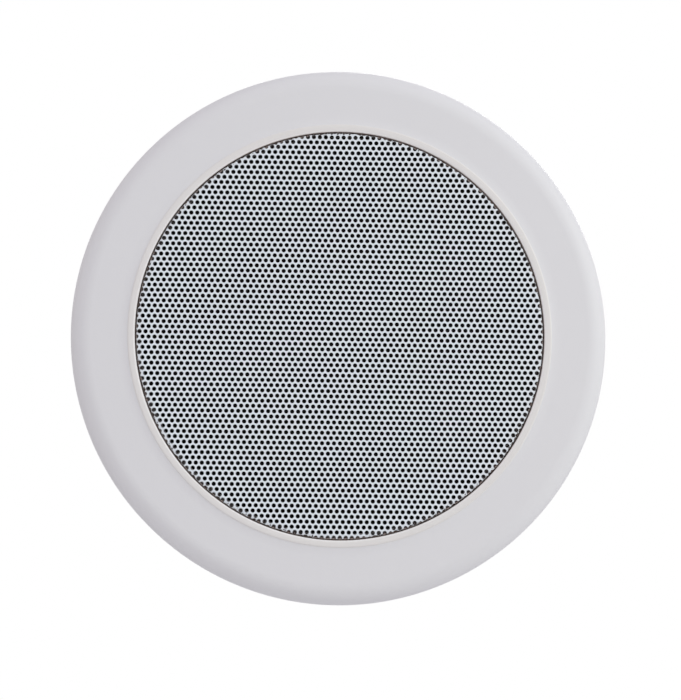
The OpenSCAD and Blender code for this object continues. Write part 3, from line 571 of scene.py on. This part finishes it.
def frontFrame(look):
    shape = Shape()
    columns, slotTop, bodyIn = slotColumns(look), look["slotTop"], sizes["bodyR"] - look["wall"]

    def dip(i, r, z):
        return slotTop if columns[i][2] and r >= bodyIn and z < slotTop else z

    shape.turned(bezelOutline(look), [c[0] for c in columns], dip)
    frameRibs(shape, look)
    screwBosses(shape, look)
    clipEars(shape, look)
    piece("front_moulding", shape, finishes["lip_plastic"], "frame", ["front_frame"])


frontFrame(frontLook)
print("front frame made")


# Grille: every hole of the real sheet, whose rim is bent back

grilleLook = {
    "pitch": 2.0, "rowStep": 1.744, "slip": -0.007, "turn": -0.54, "shift": (-0.02, -1.42), "hole": 1.46,
    "sides": 10, "holeTurn": 15, "lastHole": sizes["grilleR"] + 0.3, "flatEnd": sizes["grilleR"] + 1.2,
    "columns": 480, "bendRings": [sizes["grilleR"] + step for step in (-1.2, -0.75, -0.3, 0.15, 0.6)],
    "clear": 0.12, "rimSoft": 0.15,
}


def bentSheet(flatR, inner):    # where a radius on the flat sheet goes once the rim is bent
    bend, sheet = seatLook["bend"], seatLook["sheet"]
    faceR = sizes["grilleR"] - bend
    r = bend - (sheet if inner else 0)
    bow = (bend - sheet / 2) * math.pi / 2
    run = max(0.0, flatR - faceR)
    angle = min(run / bow, 1) * math.pi / 2
    drop = bend - r * math.cos(angle) + max(0.0, run - bow)
    return min(flatR, faceR) + r * math.sin(angle), sizes["grilleZ"] - drop


def latticeSpots(look):
    reach = int(look["lastHole"] / look["rowStep"]) + 2
    turn = math.radians(look["turn"])
    for j in range(-reach, reach + 1):
        for i in range(-reach, reach + 1):
            y = j * look["rowStep"]
            x = (i + j % 2 / 2) * look["pitch"] + y * look["slip"]
            spot = (x * math.cos(turn) - y * math.sin(turn) + look["shift"][0],
                    x * math.sin(turn) + y * math.cos(turn) + look["shift"][1])
            if math.hypot(*spot) < look["lastHole"]:
                yield spot


def perforatedGrille(look):
    spots = list(latticeSpots(look))
    holes = [circlePoints(x, y, look["hole"] / 2, look["sides"], look["holeTurn"]) for x, y in spots]
    outline = circlePoints(0, 0, look["flatEnd"], look["columns"])
    cell = look["pitch"]
    taken = {}
    for x, y in spots:
        taken.setdefault((round(x / cell), round(y / cell)), []).append((x, y))

    def clear(p):               # keeps the bend's own points out of the holes
        near = [s for i in (-1, 0, 1) for j in (-1, 0, 1)
                for s in taken.get((round(p[0] / cell) + i, round(p[1] / cell) + j), [])]
        return all(math.dist(p, s) > look["hole"] / 2 + look["clear"] for s in near)

    extra = [p for r in look["bendRings"] for p in circlePoints(0, 0, r, look["columns"] // 2) if clear(p)]
    flat, faces, edges = perforated(outline, holes, extra)
    shape = Shape()
    count = len(flat)
    for inner in (False, True):
        for p in flat:
            r = math.hypot(*p)
            out, z = bentSheet(r, inner)
            shape.points.append((p[0] * out / r, p[1] * out / r, z))
    shape.faces += [list(f) for f in faces] + [[count + i for i in reversed(f)] for f in faces]
    shape.faces += [[a, b, count + b, count + a] for a, b in edges[look["columns"]:]]
    outerR, innerR = bentSheet(look["flatEnd"], False)[0], bentSheet(look["flatEnd"], True)[0]
    low, soft = sizes["ledgeZ"], look["rimSoft"]
    n, base = look["columns"], len(shape.points)
    for r, z in ((outerR, low + soft), (outerR - soft, low), (innerR + soft, low), (innerR, low + soft)):
        shape.points += [(x, y, z) for x, y in circlePoints(0, 0, r, n)]
    rings = [list(range(n))] + [list(range(base + n * k, base + n * (k + 1))) for k in range(4)]
    rings.append(list(range(count, count + n)))
    for first, second in zip(rings, rings[1:]):
        shape.faces += [[first[i], first[(i + 1) % n], second[(i + 1) % n], second[i]] for i in range(n)]
    print("grille holes:", len(spots))
    piece("perforated_grille", shape, finishes["coated_steel"], "frame", ["grille"], 30)


perforatedGrille(grilleLook)

scrimLook = {"rings": 24, "columns": 96, "edge": 0.12}


def scrimCloth(look):
    shape, box = Shape(), extent("grille_scrim")
    r, low, high, edge = box["right"], box["back"], box["front"], look["edge"]
    inner = [(nearAxis + (r - edge) * i / look["rings"], high) for i in range(look["rings"] + 1)]
    outer = [(x, low) for x, z in reversed(inner)]
    shape.turned(inner + [(r, high - edge), (r, low + edge)] + outer, look["columns"])
    cloth = piece("scrim_cloth", shape, finishes["black_cloth"], "frame", ["grille_scrim"])
    2 * r * mm
    2 * r * mm
    math.pi * (r * mm) ** 2


scrimCloth(scrimLook)
print("grille and cloth made")


# What bends between the frame and the parts that move

def bendRound(made, inner, outer):      # a ring whose inner edge follows the cone while its outer one stays
    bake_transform(made, "cone_body", "frame", start=(inner * mm, 0, 0), end=(outer * mm, 0, 0))
    for v, share in zip(made.data.vertices, made.data.attributes["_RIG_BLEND"].data):
        t = min(max((math.hypot(v.co.x, v.co.z) / mm - inner) / (outer - inner), 0), 1)
        share.value = t * t * (3 - 2 * t)


def smoothPath(points, steps):          # a curve through the points
    spots = [Vector(points[0])] + [Vector(p) for p in points] + [Vector(points[-1])]
    path = []
    for a, b, c, d in zip(spots, spots[1:], spots[2:], spots[3:]):
        for t in (i / steps for i in range(steps)):
            path.append(0.5 * (2 * b + (c - a) * t + (2 * a - 5 * b + 4 * c - d) * t * t
                               + (3 * b - a - 3 * c + d) * t ** 3))
    return path + [Vector(points[-1])]


rollLook = {"thick": 0.5, "coneEdge": 2.3, "steps": 24, "columns": 192}


def rubberRoll(look):
    box, coneR, thick = extent("surround"), extent("cone")["right"], look["thick"]
    low = box["back"]
    rollR = box["front"] - low - thick / 2
    lift = math.degrees(math.asin(thick / (rollR + thick / 2)))
    land = coneR - look["coneEdge"] + thick / 4
    shape = Shape()
    shape.turned([(box["right"], low), (box["right"], low + thick)]
                 + arcPoints(coneR + rollR, low, rollR + thick / 2, lift, 180 - lift, look["steps"])
                 + [(land, low + thick), (land, low)]
                 + arcPoints(coneR + rollR, low, rollR - thick / 2, 180, 0, look["steps"]), look["columns"])
    made = piece("rubber_surround", shape, finishes["rubber_roll"], None, ["surround"])
    bendRound(made, coneR, coneR + 2 * rollR)


spiderLook = {"thick": 0.4, "height": 1.2, "waves": 5, "flatFrom": 31.0, "gap": 0.02, "followIn": 0.5,
              "steps": 16, "columns": 144}


def spiderCloth(look):          # corrugated cloth whose waves fade out towards the ledge it is glued to
    box, inner, flat = extent("spider"), extent("coil_former")["right"] + look["gap"], look["flatFrom"]
    half, thick, waves = look["height"] / 2, look["thick"], look["waves"]
    seat = box["front"] - thick - half * (2 - 1 / (4 * waves))
    count = look["steps"] * waves
    top = [(inner + (flat - inner) * t, seat + thick + half * (1 - t + math.sin(2 * math.pi * waves * t)))
           for t in (i / count for i in range(count + 1))]
    shape = Shape()
    shape.turned(top + [(box["right"], seat + thick), (box["right"], seat)]
                 + [(r, z - thick) for r, z in reversed(top)], look["columns"])
    made = piece("corrugated_spider", shape, finishes["spider_cloth"], None, ["spider"], 60)
    bendRound(made, inner + look["followIn"], flat)
    return seat


leadLook = {"thick": 1.0, "x": 4.5, "start": 24.6, "tag": 47.5, "sides": 12, "steps": 6}


def leadWires(look, seat):      # braided leads from the cone's back to the tags, slack enough for its travel
    shape = Shape()
    start, tag = look["start"], look["tag"]
    for x in (-look["x"], look["x"]):
        route = [(x, start, seat + 6.6), (x, start + 2.5, seat + 5.4), (x, start + 7, seat + 5),
                 (x, start + 12, seat + 4.6), (x, tag - 7.5, seat + 5), (x, tag - 3, seat + 4.8),
                 (x, tag - 0.7, seat + 3.2), (x, tag, seat + 1), (x, tag, seat - 1.2)]
        shape.tube(smoothPath(route, look["steps"]), look["thick"] / 2, look["sides"], (1, 0, 0))
    made = piece("braided_leads", shape, finishes["copper_wire"], None, ["lead_wires"], 60)
    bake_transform(made, "cone_body", "frame", start=(0, 0, start * mm), end=(0, 0, (tag - 1) * mm))


springLook = {"wire": 1.0, "mean": 2.2, "length": 7.5, "turns": 5, "steps": 32, "sides": 12, "rest": 60,
              "legStop": 9.0, "legArm": 12.0, "legSeat": 1.2, "legSteps": 6}


def clipSpring(look, name, side):       # one leg in the frame's channel, the coil on the pin, one on the arm
    rest, half, mean = math.radians(look["rest"]), look["length"] / 2, look["mean"]
    legSteps = look["legSteps"]
    ahead = Vector((math.cos(rest), 0, math.sin(rest)))
    behind = Vector((math.sin(rest), 0, -math.cos(rest)))
    count, sweep = look["turns"] * look["steps"], math.pi / 2 + rest + 2 * math.pi * look["turns"]
    path = [(-mean, -half, look["legStop"] * (1 - i / legSteps) + i / legSteps) for i in range(legSteps + 1)]
    for i in range(count + 1):
        a = math.pi + sweep * i / count
        path.append((mean * math.cos(a), look["length"] * i / count - half, mean * math.sin(a)))
    first, last = mean * behind + ahead, look["legSeat"] * behind + look["legArm"] * ahead
    path += [first.lerp(last, i / legSteps) + Vector((0, half, 0)) for i in range(legSteps + 1)]
    shape = Shape()
    shape.tube(path, look["wire"] / 2, look["sides"], (0, 1, 0),
               lambda x, y, z: (side * (sizes["clipR"] + x), y, sizes["clipZ"] + z))
    made = piece("coiled_spring_" + name, shape, finishes["spring_steel"], None,
                 ["clip_spring_" + name], 60)
    middle = Vector((side * sizes["clipR"], -sizes["clipZ"], 0)) * mm
    reach = Vector((0, 0, half * mm))
    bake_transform(made, "frame", "clip_" + name, start=middle - reach, end=middle + reach)


rubberRoll(rollLook)
leadWires(leadLook, spiderCloth(spiderLook))
for name, side in (("left", -1), ("right", 1)):
    clipSpring(springLook, name, side)
print("surround, spider, leads and springs made")


# Camera, light and ground

cameraLook = {"distance": 1.2, "azimuth": -3.2, "elevation": -5.2, "rimZ": 1.5, "sensor": 36.0,
              "width": 681, "height": 700, "rimR": 267.54, "rimX": 339.05, "rimY": 337.05}   # in pixels


def setCamera(look):
    data = bpy.data.cameras.new("camera")
    camera = bpy.data.objects.new("camera", data)
    bpy.context.scene.collection.objects.link(camera)
    a, e = math.radians(look["azimuth"]), math.radians(look["elevation"])
    back = Vector((math.sin(a) * math.cos(e), -math.cos(a) * math.cos(e), math.sin(e)))
    target = Vector((0, -look["rimZ"] * mm, 0))
    camera.location = target + back * look["distance"]
    camera.rotation_mode = "QUATERNION"
    camera.rotation_quaternion = (-back).to_track_quat("-Z", "Y")
    focal = look["rimR"] * look["distance"] / (sizes["bezelR"] * mm)
    data.sensor_width = look["sensor"]
    data.lens = focal / look["height"] * look["sensor"]
    data.shift_x = (look["width"] / 2 - look["rimX"]) / look["height"]
    data.shift_y = (look["rimY"] - look["height"] / 2) / look["height"]
    data.clip_start = 0.01
    bpy.context.scene.camera = camera


lightLook = {"ambient": (0.69, 0.674, 0.727), "right": (0.085, 0.117, 0.158), "back": (-0.217, -0.24, -0.2),
             "up": (0.07, 0.071, 0.1), "behind": rgb(0.2, 0.195, 0.2),
             "lamps": [  # name, watts, place, colour and size
                 ("key", 1.5, (0.79, -0.37, 0.23), (0.97, 1.0, 0.86), 0.25),
                 ("backFill", 8.5, (0.35, 1.5, 0.55), (1.0, 1.0, 1.0), 0.9)],
             "floorDrop": 0.16, "floorR": 2.4, "floorFade": (0.25, 1.9), "floorNear": 0.6,
             "floorColour": rgb(0.8, 0.8, 0.8)}


def setLight(look):             # an even glow, cooler from the right, with a lamp there and one behind
    world = bpy.data.worlds.new("studio")
    bpy.context.scene.world = world
    s = Shade(world)
    way, glow = s.node("TexCoord", out="Generated"), look["ambient"]
    for axis, side in zip("XYZ", ("right", "back", "up")):
        share = s.node("SeparateXYZ", None, {0: way}, axis)
        glow = s.vector("ADD", glow, s.vector("SCALE", look[side], share))
    behind = s.math("MAXIMUM", s.node("SeparateXYZ", None, {0: way}, "Y"), 0.0)
    glow = s.mixed(behind, glow, look["behind"])
    soft = s.node("Background", None, {"Color": glow, "Strength": 1.0})
    white = s.node("Background", None, {"Color": rgb(1, 1, 1), "Strength": 1.0})
    seen = s.node("LightPath", out="Is Camera Ray")
    for ray in ("Is Glossy Ray", "Is Transmission Ray"):
        seen = s.math("MAXIMUM", seen, s.node("LightPath", out=ray))
    s.node("OutputWorld", None, {"Surface": s.node("MixShader", None, {0: seen, 1: soft, 2: white})})
    for name, watts, place, colour, size in look["lamps"]:
        data = bpy.data.lights.new(name, "AREA")
        data.energy, data.color = watts, colour
        data.shape, data.size = "DISK", size
        lamp = bpy.data.objects.new(name, data)
        lamp.location = place
        lamp.rotation_mode = "QUATERNION"
        lamp.rotation_quaternion = (-Vector(place)).to_track_quat("-Z", "Y")
        lamp.visible_camera = False
        bpy.context.scene.collection.objects.link(lamp)


def setFloor(look):
    work = bmesh.new()
    bmesh.ops.create_circle(work, cap_ends=True, segments=96, radius=look["floorR"])
    mesh = bpy.data.meshes.new("floor")
    work.to_mesh(mesh)
    work.free()
    floor = bpy.data.objects.new("floor", mesh)
    floor.location = (0, 0, -sizes["bezelR"] * mm - look["floorDrop"])
    bpy.context.scene.collection.objects.link(floor)
    s = newShade("pale floor")
    matt = s.node("BsdfDiffuse", None, {"Color": look["floorColour"]})
    glow = s.node("Emission", None, {"Color": rgb(1, 1, 1), "Strength": 1.0})
    x, y = s.axis("X"), s.axis("Y")
    near, away = look["floorFade"]
    far = s.node("MapRange", {"interpolation_type": "SMOOTHSTEP"},
                 {"Value": s.math("SQRT", x * x + y * y), "From Min": near, "From Max": away,
                  "To Min": look["floorNear"], "To Max": 1.0})
    share = s.node("LightPath", out="Is Camera Ray") * far
    s.node("OutputMaterial", None, {"Surface": s.node("MixShader", None, {0: share, 1: matt, 2: glow})})
    floor.data.materials.append(s.owner)


setCamera(cameraLook)
setLight(lightLook)
setFloor(lightLook)
bpy.context.scene.view_settings.view_transform = "Standard"
print("camera, light and floor set")
